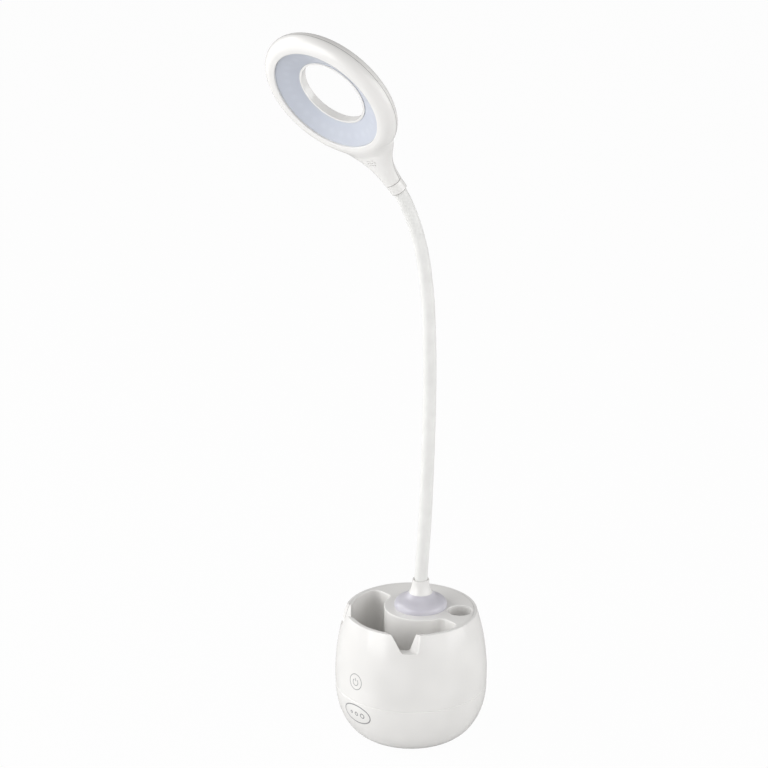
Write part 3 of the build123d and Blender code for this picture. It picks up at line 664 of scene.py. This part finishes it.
# %% Floor
floor_reach, floor_glow = 8.0, 0.97
floor_data = bpy.data.meshes.new("studio_floor")
corners = [(x * floor_reach, y * floor_reach, 0) for x, y in ((-1, -1), (1, -1), (1, 1), (-1, 1))]
floor_data.from_pydata(corners, [], [(0, 1, 2, 3)])
floor = bpy.data.objects.new("studio_floor", floor_data)
bpy.context.scene.collection.objects.link(floor)
floor_finish = bpy.data.materials.new("studio_floor_white")
floor_finish.use_nodes = True
tree = floor_finish.node_tree
tree.nodes.clear()
paint = add(tree, "ShaderNodeBsdfDiffuse", Color=colour("DCDCDC"))


def seen_directly(tree, share=1.0):
    """share where the camera sees the surface, straight or through something clear, and 0 for its light."""
    path = add(tree, "ShaderNodeLightPath")
    most = add(tree, "ShaderNodeMath", {"operation": "MAXIMUM"}, _0=path.outputs["Is Camera Ray"],
               _1=path.outputs["Is Transmission Ray"])
    return add(tree, "ShaderNodeMath", {"operation": "MULTIPLY"}, _0=most.outputs[0], _1=share).outputs[0]


bright = add(tree, "ShaderNodeEmission", Color=(1, 1, 1, 1), Strength=1.0)
both = add(tree, "ShaderNodeMixShader", Fac=seen_directly(tree, floor_glow),
           _1=paint.outputs[0], _2=bright.outputs[0])
add(tree, "ShaderNodeOutputMaterial", Surface=both.outputs[0])
floor_data.materials.append(floor_finish)

# %% [markdown]
# ## World
# Past the floor the camera sees plain white. What lights the lamp from all sides is weaker: an even room, just
# off white to the warm side, which fills the shadows that the panels leave.

# %% World
room_level = 0.37
world = bpy.data.worlds.new("studio_world")
bpy.context.scene.world = world
world.use_nodes = True
tree = world.node_tree
tree.nodes.clear()
even = add(tree, "ShaderNodeBackground", Color=(1.0, 0.99, 0.98, 1), Strength=room_level)
white = add(tree, "ShaderNodeBackground", Color=(1, 1, 1, 1), Strength=1.0)
both = add(tree, "ShaderNodeMixShader", Fac=seen_directly(tree), _1=even.outputs[0], _2=white.outputs[0])
add(tree, "ShaderNodeOutputWorld", Surface=both.outputs[0])

# %% [markdown]
# ## Lamps
# A white object on white only shows its form if the light isn't even. Soft panels stand to the left and in
# front, and two weaker ones to the right and behind, so the middle of the pot, which no panel faces, comes out
# a little darker than both its sides. To balance them, each light was rendered alone, and the powers and the
# room's level were solved for together, low enough that the white plastic doesn't burn out in the main view.

# %% Lamps
aim = Vector((0, 0, 0.25))


def soft_panel(name, azimuth, height, distance, size, watts):
    """A soft rectangular lamp, aimed at the object; azimuth is in degrees from the front, to the right."""
    data = bpy.data.lights.new(name, "AREA")
    data.shape, data.size, data.size_y, data.energy = "RECTANGLE", size[0], size[1], watts
    made = bpy.data.objects.new(name, data)
    a = math.radians(azimuth)
    made.location = (math.sin(a) * distance, -math.cos(a) * distance, height)
    made.rotation_euler = (aim - made.location).to_track_quat("-Z", "Y").to_euler()
    bpy.context.scene.collection.objects.link(made)


soft_panel("key_left", -60, 0.80, 1.5, (1.1, 1.4), 11.6)
soft_panel("front", -10, 0.60, 1.6, (1.1, 1.3), 14.7)
soft_panel("side_right", 90, 0.50, 1.6, (1.1, 1.3), 6.1)
soft_panel("back_right", 125, 0.40, 1.5, (1.0, 1.2), 10.3)

# %% [markdown]
# ## Camera
# The picture was taken from the front right, 20.7 degrees above the desk and about 2.6 m away, with a long
# lens. These numbers come from a fit to the pot's ellipses.

# %% Camera
camera_place = (1.6969, -1.6099, 1.1539)
camera_tilt, camera_turn = 69.33, 46.99     # degrees up from straight down, and round from the front
sensor_width, focal_length = 36.0, 165.8
camera_data = bpy.data.cameras.new("camera")
camera_data.sensor_width = sensor_width
camera_data.lens = focal_length
camera_data.clip_start, camera_data.clip_end = 0.05, 50
camera = bpy.data.objects.new("camera", camera_data)
camera.location = camera_place
camera.rotation_euler = (math.radians(camera_tilt), 0, math.radians(camera_turn))
bpy.context.scene.collection.objects.link(camera)
bpy.context.scene.camera = camera
bpy.context.scene.view_settings.view_transform = "Standard"
